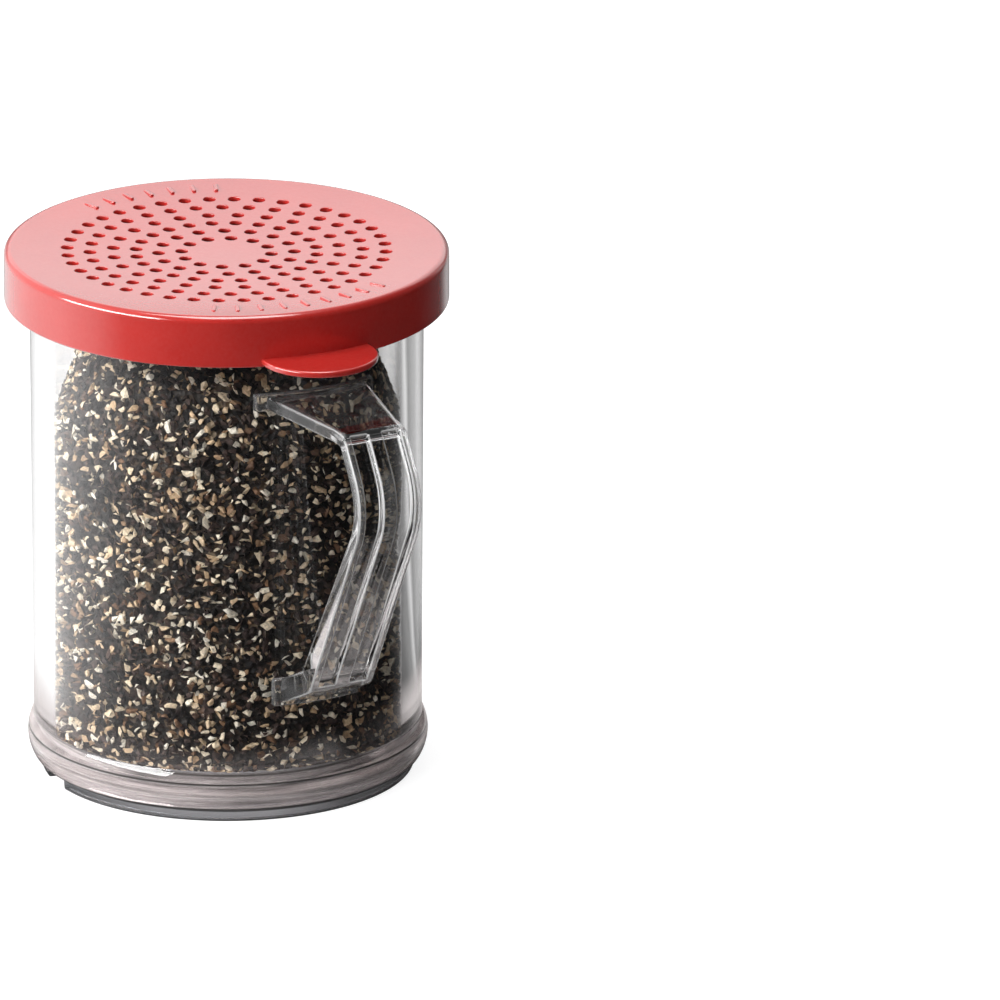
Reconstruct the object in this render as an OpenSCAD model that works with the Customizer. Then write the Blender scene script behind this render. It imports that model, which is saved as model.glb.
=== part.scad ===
// Handled spice shaker: clear moulded cup, clear base plate, clear strap handle,
// perforated push-on lid with a pull tab, and the ground spice that fills the cup.
// +Z is up. The origin is the centre of the foot ring's underside, and the handle points along +X.
// Lengths are in millimetres and angles in degrees.

/* [Cup] */
// Outer diameter of the wall above the base band
wall_base_d = 72.2; // [70:0.1:75]
// How much further out the wall stands under the rim, from its moulding draft
wall_draft = 0.45; // [0.2:0.05:1]
// Wall thickness of the cup at its base
wall_t = 3.8; // [3:0.1:4.4]
// Height of the rim's top face above the table, which is the lid's seat
seat_z = 98; // [92:0.5:110]
// How far the rim stands out from the wall
rim_out = 2.65; // [2:0.05:4]
// Height of the rim
rim_h = 3.1; // [2:0.1:4]

/* [Base band] */
// How far the rounded band round the base stands out from the wall
band_out = 1.1; // [0.6:0.1:2]
// Height of the band's widest line above the table
band_z = 6.6; // [5.5:0.1:8]
// Radius of the band's rounded section
band_round = 6.9; // [6:0.1:8]
// Height at which the band runs out into the wall
band_top_z = 12.4; // [11:0.1:15]

/* [Base plate] */
// Width of the step that takes the plate's flange, outside the cup's bore
socket_step = 1.7; // [1.2:0.1:2]
// Thickness of the plate's flange
flange_t = 2; // [1.4:0.1:2.2]
// Thickness of the plate
plate_t = 3.4; // [2.6:0.1:3.8]
// Height of the cup's inner floor above the table
floor_z = 8.2; // [7.6:0.1:10]
// How far the foot ring reaches out past the socket
foot_lip = 0.6; // [0.4:0.1:1]
// Height of the foot ring
foot_h = 2.7; // [2:0.1:3.2]
// Radial thickness of the foot ring
foot_w = 3; // [2:0.1:4]
// Width of the drain notch in the foot ring
notch_w = 7.2; // [4:0.1:10]
// Direction of the drain notch from the handle
notch_turn = -95; // [-180:1:180]

/* [Handle] */
// Width of the strap
strap_w = 13; // [10:0.1:16]
// Thickness of the strap's top leg and grip
strap_t = 2.5; // [2:0.1:2.9]
// Thickness of the strap at the lower kink and in the lower leg
shank_t = 4.4; // [3:0.1:5]
// Depth below the lid's seat at which the top leg meets the wall
top_leg_down = 14.2; // [12.5:0.1:20]
// Distance of the upper fold from the wall
fold_out = 23.25; // [20:0.05:26]
// Height that the top leg drops on its way to the fold
fold_drop = 1.1; // [0:0.1:3]
// Distance of the grip's outermost bend from the wall
grip_out = 31.75; // [28:0.05:36]
// Height of the grip's outermost bend below the fold
grip_drop = 13.2; // [10:0.1:18]
// Radius of the grip's outermost bend
grip_round = 13; // [8:0.5:15]
// Distance of the lower kink from the wall
kink_out = 9.9; // [8:0.1:12]
// Height of the lower kink above the lower leg's root
kink_rise = 4.9; // [3:0.1:8]
// Height of the lower leg's underside where it meets the wall
low_leg_z = 23.5; // [20:0.1:26]
// Radius of the fold and of the kink
fold_round = 3.5; // [3:0.1:5]
// Width of the top leg at the wall
top_leg_w = 20.6; // [16:0.1:24]
// Width of the lower leg at the wall
low_leg_w = 15.6; // [14:0.1:20]
// Depth of the two sunk panels on the strap's outer face
panel_deep = 1; // [0.5:0.1:1.4]
// Width of the lip outside each panel
lip_w = 1.5; // [0.8:0.1:2]
// Width of the rib between the panels
rib_w = 3; // [1.2:0.1:3.2]
// Thickness of the pads that bond the legs to the wall
pad_t = 1.1; // [0.8:0.1:1.6]
// How far the upper pad reaches past the leg on both sides
top_pad_side = 1.8; // [1:0.1:3]
// How far the lower pad reaches past the leg on both sides
low_pad_side = 1; // [0.6:0.1:3]
// How far each pad reaches past the leg above and below it
pad_over = 0.4; // [0.2:0.1:1]

/* [Lid] */
// Thickness of the lid's skirt
lid_wall = 1.5; // [1:0.1:1.6]
// Length of the skirt below the seat
skirt_h = 7.2; // [6:0.1:10]
// Thickness of the lid's plate at its centre
lid_plate = 1.5; // [1.2:0.1:2.2]
// Depth of the shallow dish in the lid's top
lid_dish = 1.15; // [0.5:0.05:1.6]
// Radius of the lid's top edge
lid_round = 1.3; // [0.8:0.1:1.6]
// Height of the snap bead inside the skirt
bead_h = 1; // [0.6:0.1:1.4]
// How far the snap bead stands in from the skirt
bead_deep = 0.25; // [0.15:0.05:0.4]

/* [Lid tab] */
// Radius of the round pull tab, whose centre is on the lid's rim
tab_r = 11; // [8:0.1:14]
// Thickness of the tab
tab_t = 1.2; // [0.8:0.1:2]
// Height of the tab's underside above the skirt's edge
tab_rise = 0.5; // [0.2:0.1:2]
// Direction of the tab from the handle
tab_turn = -2.8; // [-180:0.1:180]

/* [Lid holes and marks] */
// Diameter of the dispensing holes
hole_d = 2.3; // [1.2:0.1:3]
// Radius of the innermost ring of holes
ring_r = 8.35; // [8:0.05:9]
// Distance of a tick's middle from the edge of the lid's dish
tick_in = 4.65; // [4:0.05:6]
// Length of a raised tick
tick_l = 3.4; // [2:0.1:4]
// Width of a raised tick
tick_w = 0.8; // [0.5:0.1:1.5]
// Angle between neighbouring ticks
tick_step = 7; // [5:0.5:9]

/* [Contents] */
// Depth of the heap's top below the lid's seat
fill_down = 6; // [5:0.5:14]
// Height of the heap, which stands clear of the wall
heap_h = 20; // [16:1:30]
// How far the heap's foot draws in from the wall
heap_in = 3.5; // [2:0.1:5]
// Height over which it draws in
heap_foot_h = 8; // [6:0.5:12]
// Depth of the hollows between the spice's lumps
lump_deep = 0.8; // [0.4:0.1:1.2]
// Distance between neighbouring lumps
lump_step = 5.8; // [5:0.1:8]

/* [Clearances] */
// Bond line between the cup and the pieces welded to it
bond_gap = 0.1; // [0.05:0.05:0.2]
// Gap between the spice and the wall
fill_gap = 0.15; // [0.1:0.05:0.3]
// Radial gap between the lid's snap bead and the rim
bead_gap = 0.3; // [0.3:0.05:0.5]
// Gap between the rim and the lid that rests on it
seat_gap = 0.05; // [0.02:0.01:0.2]
// Margin between the outermost holes and the cup's bore
hole_gap = 1.6; // [0.5:0.1:2.5]

/* [Hidden] */

// Fineness of round surfaces
round_fn = 180;
hole_fn = 24;
bend_steps = 8;
// A cut reaches this far past the face it opens
past = 1;
// Rings of lumps on the heap's dome, and the seed of the lumps' heights
dome_rings = 6;
lump_seed = 7;

// Holes in each ring, from the innermost ring outwards
RING_HOLES = [12, 16, 24, 24, 32, 40];
// Ticks beside the tab, and ticks opposite it
TICKS_TAB = 9;
TICKS_FAR = 7;

wall_base_r = wall_base_d / 2;
wall_top_r = wall_base_r + wall_draft;
bore_r = wall_base_r - wall_t;
rim_r = wall_top_r + rim_out;
band_r = wall_base_r + band_out;
socket_r = bore_r + socket_step;
foot_r = socket_r + foot_lip;

rim_z = seat_z - rim_h;
plate_z = floor_z - plate_t;
flange_z = plate_z + flange_t;

spice_r = bore_r - fill_gap;
heap_top_z = seat_z - fill_down;
heap_z = heap_top_z - heap_h;
dome_r = spice_r - heap_in;
dome_h = heap_h - heap_foot_h;
side_rings = round((heap_z - floor_z) / lump_step);
lumps_round = round(2 * PI * spice_r / lump_step);

bead_r = rim_r + bead_gap;
skirt_r = bead_r + bead_deep;
lid_r = skirt_r + lid_wall;
lid_seat_z = seat_z + seat_gap;
lid_z = lid_seat_z - skirt_h;
lid_top = lid_seat_z + lid_plate + lid_dish;
dish_edge_r = lid_r - lid_round;
last_ring_r = bore_r - hole_gap - hole_d / 2;
ring_step = (last_ring_r - ring_r) / (len(RING_HOLES) - 1);
tick_r = dish_edge_r - tick_in;
tab_z = lid_z + tab_rise;

top_leg_z = seat_z - top_leg_down;
fold_x = wall_top_r + fold_out;
fold_z = top_leg_z - fold_drop;
grip_x = wall_top_r + grip_out;
grip_z = fold_z - grip_drop;
kink_x = wall_base_r + kink_out;
kink_z = low_leg_z + kink_rise;

// Radius of the tapered wall at height z
function wall_r(z) = wall_base_r + (wall_top_r - wall_base_r) * (z - band_top_z) / (rim_z - band_top_z);

function unit(v) = v / norm(v);
function outward(a, b) = let (d = unit(b - a)) [-d[1], d[0]];
function angle_of(v) = atan2(v[1], v[0]);
function reversed(list) = [for (i = [len(list) - 1:-1:0]) list[i]];
function into_wall(at, from) = at + leg_root * unit(at - from);

// Corners of the strap's outer face in side view, from the wall over the fold, the grip and the kink
// back to the wall. Both ends lie inside the wall, which cuts them off.
leg_root = 3.5;
STRAP = [
    into_wall([wall_top_r, top_leg_z], [fold_x, fold_z]),
    [fold_x, fold_z],
    [grip_x, grip_z],
    [kink_x, kink_z],
    into_wall([wall_base_r, low_leg_z], [kink_x, kink_z])
];
STRAP_ROUNDS = [0, fold_round, grip_round, fold_round, 0];
// Thickness of the strap at the same corners, and the smallest radius inside a bend
STRAP_DEPTHS = [strap_t, strap_t, strap_t, shank_t, shank_t];
inner_round = 0.8;

// The rounded bend of the strap's face at corner i, sunk by inset
function bend(i, inset) =
    let (n1 = outward(STRAP[i - 1], STRAP[i]))
    let (n2 = outward(STRAP[i], STRAP[i + 1]))
    let (mid = unit(n1 + n2))
    let (r = max(STRAP_ROUNDS[i], inset + inner_round))
    let (centre = STRAP[i] - mid * r / (n1 * mid))
    let (a1 = angle_of(n1))
    let (a2 = angle_of(n2))
    [for (k = [0:bend_steps])
        let (a = a1 + (a2 - a1) * k / bend_steps)
        centre + (r - inset) * [cos(a), sin(a)]];

// The strap's outer and inner face in side view
outer_line = concat([STRAP[0]], bend(1, 0), bend(2, 0), bend(3, 0), [STRAP[4]]);
inner_line = concat(
    [STRAP[0] - STRAP_DEPTHS[0] * outward(STRAP[0], STRAP[1])],
    bend(1, STRAP_DEPTHS[1]),
    bend(2, STRAP_DEPTHS[2]),
    bend(3, STRAP_DEPTHS[3]),
    [STRAP[4] - STRAP_DEPTHS[4] * outward(STRAP[3], STRAP[4])]
);

// The face between the middle of the fold and the kink, sunk by inset
function panel_line(inset) = concat(
    [for (k = [bend_steps / 2:bend_steps]) bend(1, inset)[k]],
    bend(2, inset),
    [bend(3, inset)[0]]
);

// The spice in half section without its lumps: up the wall, in to the heap's dome, and over it
spice_line = concat(
    [for (k = [0:side_rings]) [spice_r, floor_z + (heap_z - floor_z) * k / side_rings]],
    [for (k = [0:dome_rings])
        let (a = 90 * k / dome_rings)
        [dome_r * cos(a), heap_top_z - dome_h + dome_h * sin(a)]]
);
spice_rings = len(spice_line) - 1;
LUMPS = rands(0, lump_deep, spice_rings * lumps_round, lump_seed);

// The spice's surface at lump i of ring j, sunk at random. The lowest ring lies flat on the floor.
function spice_point(i, j) =
    let (a = 360 * i / lumps_round)
    let (sunk = j == 0 ? 0 : LUMPS[j * lumps_round + i])
    let (way = j == 0 ? [0, 0] : outward(spice_line[j + 1], spice_line[j - 1]))
    let (p = spice_line[j] - sunk * way)
    [p[0] * cos(a), p[0] * sin(a), p[1]];

// A point of the lid's dished top at radius r from its axis
function dish_point(r) = [r, lid_top - lid_dish * (1 - pow(r / dish_edge_r, 2))];

// Turns a side view (distance from the axis, height) into a slab of width w across the handle
module across(w) {
    rotate([90, 0, 0])
        linear_extrude(height = w, center = true)
            children();
}

// Solid inside the cup's tapered outer wall, grown by extra
module wall_solid(extra) {
    translate([0, 0, band_top_z])
        cylinder(h = rim_z - band_top_z, r1 = wall_base_r + extra, r2 = wall_top_r + extra, $fn = round_fn);
}

// Revolves a half section (radius, height) about Z
module turned() {
    rotate_extrude($fn = round_fn)
        children();
}

// Half section of the rounded band round the base
module band_section() {
    intersection() {
        translate([band_r - band_round, band_z])
            circle(r = band_round, $fn = round_fn);
        translate([0, foot_h])
            square([band_r + past, band_top_z - foot_h]);
    }
    translate([0, foot_h])
        square([band_r - band_round, band_top_z - foot_h]);
}

// Half section of the cup
module cup_section() {
    difference() {
        union() {
            band_section();
            polygon([
                [0, band_z],
                [wall_base_r, band_z],
                [wall_base_r, band_top_z],
                [wall_top_r, rim_z],
                [rim_r, rim_z],
                [rim_r, seat_z],
                [0, seat_z]
            ]);
        }
        // Bore
        translate([0, foot_h - past])
            square([bore_r, seat_z - foot_h + 2 * past]);
        // Socket for the base plate's flange
        translate([0, foot_h - past])
            square([socket_r, flange_z - foot_h + past]);
    }
}

module cup_body() {
    color([0.86, 0.88, 0.9, 0.4])
        turned()
            cup_section();
}

module base_plate() {
    color([0.8, 0.8, 0.84, 0.5])
        difference() {
            turned()
                difference() {
                    union() {
                        square([foot_r, foot_h]);
                        square([socket_r - bond_gap, flange_z]);
                        square([bore_r - bond_gap, floor_z]);
                    }
                    translate([0, -past])
                        square([foot_r - foot_w, plate_z + past]);
                }
            // Drain notch
            rotate([0, 0, notch_turn])
                translate([foot_r - foot_w - past, -notch_w / 2, -past])
                    cube([foot_w + 2 * past, notch_w, foot_h + past]);
        }
}

// Plan of the legs: as wide as leg_w at the wall, tapering to the strap where corner_x is reached
module leg_plan(leg_w, corner_x) {
    polygon([
        [0, leg_w / 2],
        [wall_base_r, leg_w / 2],
        [corner_x, strap_w / 2],
        [grip_x + past, strap_w / 2],
        [grip_x + past, -strap_w / 2],
        [corner_x, -strap_w / 2],
        [wall_base_r, -leg_w / 2],
        [0, -leg_w / 2]
    ]);
}

// Sunk panels on both sides of the rib, from the fold to the kink
module panels() {
    side_w = strap_w / 2 - lip_w - rib_w / 2;
    for (side = [-1, 1])
        translate([0, side * (rib_w + side_w) / 2, 0])
            across(side_w)
                polygon(concat(panel_line(-past), reversed(panel_line(panel_deep))));
}

// Pad of width w and height h that follows the wall, with its middle at height z
module wall_pad(w, h, z) {
    intersection() {
        wall_solid(pad_t);
        translate([0, -w / 2, z - h / 2])
            cube([grip_x, w, h]);
    }
}

module handle() {
    mid_z = (fold_z + kink_z) / 2;
    color([0.82, 0.84, 0.87, 0.6])
        difference() {
            union() {
                intersection() {
                    across(top_leg_w)
                        polygon(concat(outer_line, reversed(inner_line)));
                    union() {
                        translate([0, 0, mid_z])
                            linear_extrude(height = mid_z)
                                leg_plan(top_leg_w, fold_x - fold_round);
                        linear_extrude(height = mid_z)
                            leg_plan(low_leg_w, kink_x - fold_round);
                    }
                }
                wall_pad(top_leg_w + 2 * top_pad_side, strap_t + 2 * pad_over, top_leg_z - strap_t / 2);
                wall_pad(low_leg_w + 2 * low_pad_side, shank_t + 2 * pad_over, low_leg_z + shank_t / 2);
            }
            panels();
            wall_solid(bond_gap);
        }
}

// One lumpy solid, from its flat underside over its rings of lumps to the heap's top
module ground_spice() {
    n = lumps_round;
    top = spice_rings * n;
    color([0.24, 0.2, 0.17])
        polyhedron(
            points = concat(
                [for (j = [0:spice_rings - 1]) for (i = [0:n - 1]) spice_point(i, j)],
                [[0, 0, heap_top_z]]
            ),
            faces = concat(
                [[for (i = [0:n - 1]) i]],
                [for (j = [1:spice_rings - 1])
                    for (i = [0:n - 1])
                        let (low = (j - 1) * n)
                        let (next = (i + 1) % n)
                        each [
                            [low + i, low + n + i, low + n + next],
                            [low + i, low + n + next, low + next]
                        ]],
                [for (i = [0:n - 1]) [top - n + i, top, top - n + (i + 1) % n]]
            )
        );
}

// Half section of the lid without its holes
module lid_section() {
    difference() {
        union() {
            translate([0, lid_z])
                square([lid_r - lid_round, lid_top - lid_z]);
            translate([0, lid_z])
                square([lid_r, lid_top - lid_z - lid_round]);
            translate([lid_r - lid_round, lid_top - lid_round])
                circle(r = lid_round, $fn = round_fn);
        }
        // Room for the rim, above and below the snap bead
        translate([0, lid_seat_z - rim_h])
            square([skirt_r, rim_h]);
        translate([0, lid_z - past])
            square([bead_r, lid_seat_z - lid_z + past]);
        translate([0, lid_z - past])
            square([skirt_r, skirt_h - rim_h - bead_h + past]);
        // Shallow dish in the top, stepped between the rings of holes
        polygon(concat(
            [dish_point(0)],
            [for (k = [0:len(RING_HOLES)]) dish_point(ring_r + (k - 0.5) * ring_step)],
            [dish_point(dish_edge_r), [dish_edge_r, lid_top + past], [0, lid_top + past]]
        ));
    }
}

module tab() {
    translate([lid_r, 0, tab_z])
        cylinder(h = tab_t, r = tab_r, $fn = round_fn);
}

// A row of raised radial ticks centred on direction turn
module ticks(count, turn) {
    for (i = [0:count - 1])
        rotate([0, 0, turn + (i - (count - 1) / 2) * tick_step])
            translate([tick_r - tick_l / 2, -tick_w / 2, lid_seat_z + lid_plate / 2])
                cube([tick_l, tick_w, lid_top - lid_seat_z - lid_plate / 2]);
}

module lid() {
    color([0.8, 0.28, 0.26])
        rotate([0, 0, tab_turn])
            difference() {
                union() {
                    turned()
                        lid_section();
                    difference() {
                        tab();
                        translate([0, 0, lid_z - past])
                            cylinder(h = skirt_h, r = lid_r - lid_wall / 2, $fn = round_fn);
                    }
                    ticks(TICKS_TAB, 0);
                    ticks(TICKS_FAR, 180);
                }
                for (ring = [0:len(RING_HOLES) - 1])
                    for (i = [0:RING_HOLES[ring] - 1])
                        rotate([0, 0, i * 360 / RING_HOLES[ring]])
                            translate([ring_r + ring * ring_step, 0, lid_seat_z - past])
                                cylinder(h = lid_top - lid_seat_z + 2 * past, d = hole_d, $fn = hole_fn);
            }
}

cup_body();
base_plate();
handle();
ground_spice();
lid();
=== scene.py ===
"""Looks of the handled spice shaker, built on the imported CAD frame.

The shaker's sizes are in mm and its angles in degrees. Lamps, camera and floor are in metres.
"""

import math

import bmesh
import bpy
import numpy as np
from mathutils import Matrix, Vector


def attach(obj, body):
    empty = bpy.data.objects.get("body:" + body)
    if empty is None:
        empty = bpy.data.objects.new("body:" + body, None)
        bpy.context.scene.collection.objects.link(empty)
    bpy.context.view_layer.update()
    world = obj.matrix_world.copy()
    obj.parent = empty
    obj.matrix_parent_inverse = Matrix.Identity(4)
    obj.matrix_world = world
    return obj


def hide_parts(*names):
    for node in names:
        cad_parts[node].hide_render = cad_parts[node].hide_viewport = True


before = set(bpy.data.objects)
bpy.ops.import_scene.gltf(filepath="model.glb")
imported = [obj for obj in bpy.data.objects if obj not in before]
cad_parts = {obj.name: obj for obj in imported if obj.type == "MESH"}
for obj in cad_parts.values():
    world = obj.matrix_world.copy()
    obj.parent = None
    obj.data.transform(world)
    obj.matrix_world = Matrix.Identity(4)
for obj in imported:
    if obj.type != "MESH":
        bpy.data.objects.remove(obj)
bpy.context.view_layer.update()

MM = 0.001
SEED = 4711
# A surface that turns by more than this is shaded as an edge
SHARP = math.radians(40)

# ---- sizes, as in the part's source

# Cup: its wall, its bore, and the rim that carries the lid
WALL_BASE_R, WALL_TOP_R, BORE_R = 36.1, 36.55, 32.3
SEAT_Z, RIM_R, RIM_Z = 98.0, 39.2, 94.9
# Rounded band round the cup's base
BAND_CENTRE_R, BAND_Z, BAND_ROUND, BAND_TOP_Z = 30.3, 6.6, 6.9, 12.4
# Base plate: the cup's socket for it, its foot ring, its faces and the gap of its bonded seam
SOCKET_R, FOOT_R, FOOT_W, FOOT_H = 34.0, 34.6, 3.0, 2.7
FLOOR_Z, PLATE_Z, FLANGE_Z, BOND_GAP = 8.2, 4.8, 6.8, 0.1
# Drain notch: width, direction, width of its slanting sides, and height of the ring left in it
NOTCH_W, NOTCH_TURN, NOTCH_EDGE, NOTCH_LEFT = 7.2, -95.0, 0.35, 0.12

# Strap: the corners of its outer face as (radius, height), their rounding and its thickness there
STRAP = [(36.55, 83.8), (59.8, 82.7), (68.3, 69.5), (46.0, 28.4), (36.1, 23.5)]
STRAP_ROUNDS = [0, 3.5, 13, 3.5, 0]
STRAP_DEPTHS = [2.5, 2.5, 2.5, 4.4, 4.4]
# Widths of grip and legs, radii at which the legs are as narrow as the grip, and a height between
# the legs
STRAP_W, TOP_LEG_W, LOW_LEG_W = 13.0, 20.6, 15.6
TOP_TAPER_X, LOW_TAPER_X, LEG_SPLIT_Z = 56.3, 42.5, 55
# Sunk panels: depth, the lip outside them and the rib between them
PANEL_DEEP, LIP_W, RIB_W = 1.0, 1.5, 3.0
# Strap: rounding of its edges, least radius of its inner bends, steps of a bend, and distance
# between its cross-sections
STRAP_EDGE, INNER_ROUND, BEND_STEPS, STATION = 0.38, 0.8, 14, 2.0
# How far the legs are drawn into the wall, and how far outside it they end and stand free
LEG_ROOT, LEG_END, LEG_CLEAR = 3.5, 0.45, 2.2
# Pads: thickness, rounding, how far they reach past the legs, and their depth in the wall
PAD_T, PAD_EDGE, PAD_OVER, WELD = 1.1, 0.3, 0.4, 0.05
TOP_PAD_W, LOW_PAD_W = TOP_LEG_W + 3.6, LOW_LEG_W + 2.0

# Lid: outer radius, lower edge, underside of its plate and highest edge; then the rounding of its
# top edge, the insides of skirt and snap bead, and the depth and radius of its dished top
LID_R, LID_Z, LID_SEAT_Z, LID_TOP = 41.25, 90.85, 98.05, 100.7
LID_ROUND, SKIRT_R, BEAD_R, DISH, DISH_R = 1.3, 39.75, 39.5, 1.15, 39.95
BEAD_TOP_Z, BEAD_H = 94.95, 1.0
# Holes: number in each ring, radius of the first ring, step to the next, radius and rounded edge
RING_HOLES = [12, 16, 24, 24, 32, 40]
RING_R, RING_STEP, HOLE_R, HOLE_EDGE = 8.35, 4.24, 1.15, 0.16
# Steps of the circle that the lid's plate and skirt share
CIRCLE = 480
# Pull tab: size, direction from the handle, rounding, and its depth in the skirt
TAB_R, TAB_Z, TAB_T, TAB_TURN, TAB_EDGE, TAB_ROOT = 11.0, 91.35, 1.2, -2.8, 0.4, 0.7
# Raised ticks: middle radius, length, width, step between them, rounding of their ends and edges,
# and how many there are on the tab's side and on the far side
TICK_R, TICK_L, TICK_W, TICK_STEP, TICK_ROUND, TICK_EDGE = 35.3, 3.4, 0.8, 7.0, 0.36, 0.14
TICKS_TAB, TICKS_FAR = 9, 7

# Spice: gap to the wall, height at which the heap leaves it, and height of its top
FILL_GAP, HEAP_Z, HEAP_TOP_Z = 0.15, 72.0, 92.0
# How far the heap draws in from the wall, and over which height
HEAP_IN, HEAP_FOOT_H = 3.5, 8.0
# Chips: number of shapes, size with its spread and limits, tilt, distance, jitter in that distance,
# how far they sink, and share with skin on one side
CHIP_SHAPES, CHIP_SIZE, CHIP_SPREAD, CHIP_LIMITS = 28, 2.0, 0.25, (0.9, 3.1)
CHIP_TILT, CHIP_PITCH, CHIP_JITTER, CHIP_SINK, CHIP_SKIN = 0.6, 1.18, 0.42, 0.55, 0.55
# Depth of the plain mass under the chips, and the height at which the middle chips begin
MASS_SINK, CHIPS_MIDDLE_Z = 1.0, 40.0


# ---- mesh helpers

def unit(v):
    return v / np.linalg.norm(v)


def round_corner(before, corner, after, radius, steps, support):
    """A corner of a path as an arc, with one more point just before and just after it."""
    a, c, b = (np.array(p, float) for p in (before, corner, after))
    u, v = unit(a - c), unit(b - c)
    half = math.acos(np.clip(u @ v, -1, 1)) / 2
    if radius <= 0 or half > math.radians(89):
        return [c]
    cut = min(radius / math.tan(half), 0.45 * np.linalg.norm(a - c), 0.45 * np.linalg.norm(b - c))
    radius = cut * math.tan(half)
    centre = c + unit(u + v) * radius / math.sin(half)
    start, end = c + u * cut - centre, c + v * cut - centre
    a0 = math.atan2(start[1], start[0])
    turn = math.atan2(start[0] * end[1] - start[1] * end[0], start @ end)
    angles = [a0 + turn * k / steps for k in range(steps + 1)]
    arc = [centre + radius * np.array([math.cos(a), math.sin(a)]) for a in angles]
    return [c + u * (cut + support)] + arc + [c + v * (cut + support)]


def rounded_path(corners, closed=True, steps=4, support=0.1):
    """Corners are (radius, height, rounding). Returns the rounded path's points."""
    n = len(corners)
    path = []
    for i, (r, z, fillet) in enumerate(corners):
        if not closed and i in (0, n - 1):
            path.append(np.array([r, z], float))
            continue
        before, after = corners[i - 1], corners[(i + 1) % n]
        path += round_corner(before[:2], (r, z), after[:2], fillet, steps, support)
    return np.array(path)


def lathe(path, angles, closed=True):
    """Turns a path of (radius, height) about Z. The solid lies to the left of the path."""
    m, n = len(angles), len(path)
    ring = np.stack([np.cos(angles), np.sin(angles)], 1)
    verts = np.empty((m, n, 3))
    verts[:, :, :2] = ring[:, None, :] * path[None, :, :1]
    verts[:, :, 2] = path[None, :, 1]
    pole = path[:, 0] < 1e-6
    faces = []
    for i in range(m):
        k = (i + 1) % m
        for j in range(n if closed else n - 1):
            after = (j + 1) % n
            if pole[j] and pole[after]:
                continue
            face = [i * n + j, k * n + j, k * n + after, i * n + after]
            if pole[j]:
                face = [j, k * n + after, i * n + after]
            elif pole[after]:
                face = [i * n + j, k * n + j, after]
            faces.append(face)
    return verts.reshape(-1, 3), faces


def loops(rings):
    """Joins rings of equally many points, (rings, points, 3), by quads."""
    m, n = rings.shape[:2]
    faces = []
    for i in range(m - 1):
        for j in range(n):
            k = (j + 1) % n
            faces.append([i * n + j, i * n + k, (i + 1) * n + k, (i + 1) * n + j])
    return rings.reshape(-1, 3), faces


def capped(rings):
    """Rings joined by quads, with a face over the first and over the last ring."""
    verts, faces = loops(rings)
    n = rings.shape[1]
    faces.append(list(range(n))[::-1])
    faces.append([len(verts) - n + i for i in range(n)])
    return verts, faces


def together(parts):
    """Several (verts, faces) as one."""
    verts, faces, start = [], [], 0
    for v, f in parts:
        verts.append(v)
        faces += [[i + start for i in face] for face in f]
        start += len(v)
    return np.concatenate(verts), faces


def place(name, data):
    """A new object of the scene."""
    obj = bpy.data.objects.new(name, data)
    bpy.context.scene.collection.objects.link(obj)
    return obj


def make_object(name, verts, faces, mat):
    """A smooth mesh object from points in mm, with its loose and doubled points cleaned up."""
    mesh = bpy.data.meshes.new(name)
    mesh.from_pydata((np.asarray(verts) * MM).tolist(), [], faces)
    bm = bmesh.new()
    bm.from_mesh(mesh)
    bmesh.ops.remove_doubles(bm, verts=bm.verts, dist=2e-7)
    loose = [v for v in bm.verts if not v.link_faces]
    bmesh.ops.delete(bm, geom=loose, context="VERTS")
    bm.to_mesh(mesh)
    bm.free()
    mesh.materials.append(mat)
    obj = place(name, mesh)
    mesh.shade_smooth()
    mesh.set_sharp_from_angle(angle=SHARP)
    return obj


def slab(outline, z0, z1, edge, steps):
    """A flat slab over a closed outline (x, y), counter-clockwise, with rounded edges."""
    outline = np.asarray(outline, float)
    ahead = np.roll(outline, -1, 0) - outline
    behind = outline - np.roll(outline, 1, 0)
    tangent = ahead / np.linalg.norm(ahead, axis=1, keepdims=True)
    tangent += behind / np.linalg.norm(behind, axis=1, keepdims=True)
    tangent /= np.linalg.norm(tangent, axis=1, keepdims=True)
    inward = np.stack([-tangent[:, 1], tangent[:, 0]], 1)
    levels = [(edge * (1 - math.sin(a)), z0 + edge * (1 - math.cos(a)))
              for a in np.linspace(0, math.pi / 2, steps + 1)]
    levels += [(inset, z1 - (z - z0)) for inset, z in reversed(levels)]
    levels = [(edge + 0.1, z0)] + levels + [(edge + 0.1, z1)]
    return capped(np.array([np.column_stack([outline + inward * inset, np.full(len(outline), z)])
                            for inset, z in levels]))


def turned_about_z(verts, degrees):
    """Points turned counter-clockwise, seen from above."""
    a = math.radians(degrees)
    c, s = math.cos(a), math.sin(a)
    return verts @ np.array([[c, s, 0], [-s, c, 0], [0, 0, 1]])


# ---- node materials

# Share of light that the scuffs round the base scatter
SCUFFED = 0.04
# Strength of the dark lines round the base, by height: painted contact shadow on the lowest edge,
# dirt and painted shade in the seams, and thin dark lines between them
GRIME_SHADE_TOP = 14.0
GRIME_SHADE_LINES = [(0, 0.95), (0.35, 0.95), (0.5, 0), (1.8, 0), (1.95, 0.95), (2.95, 0.95), (3.1, 0),
         (5.0, 0), (5.1, 0.35), (5.2, 0.35), (5.3, 0), (6.4, 0), (6.5, 0.3), (6.6, 0), (7.7, 0),
         (7.8, 0.95), (8.12, 0.95), (8.2, 0)]
# Colour of those lines: dirt and painted shade
GRIME_SHADE_COLOUR = (0.02, 0.016, 0.015)
# Frosted bond of cup and base plate: its span in radius and in height, its strength and its tint
BOND_R, BOND_Z, FROSTED = (31.9, 34.3), (2.8, 8.1), 0.2
BOND_TINT = (0.86, 0.80, 0.79)
# Whitish convex edges, a painted highlight: their pointiness, and the radii between which they set
# in
EDGE_HIGHLIGHT_POINT, EDGE_HIGHLIGHT_R = (0.508, 0.535), (38.0, 41.0)
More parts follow.
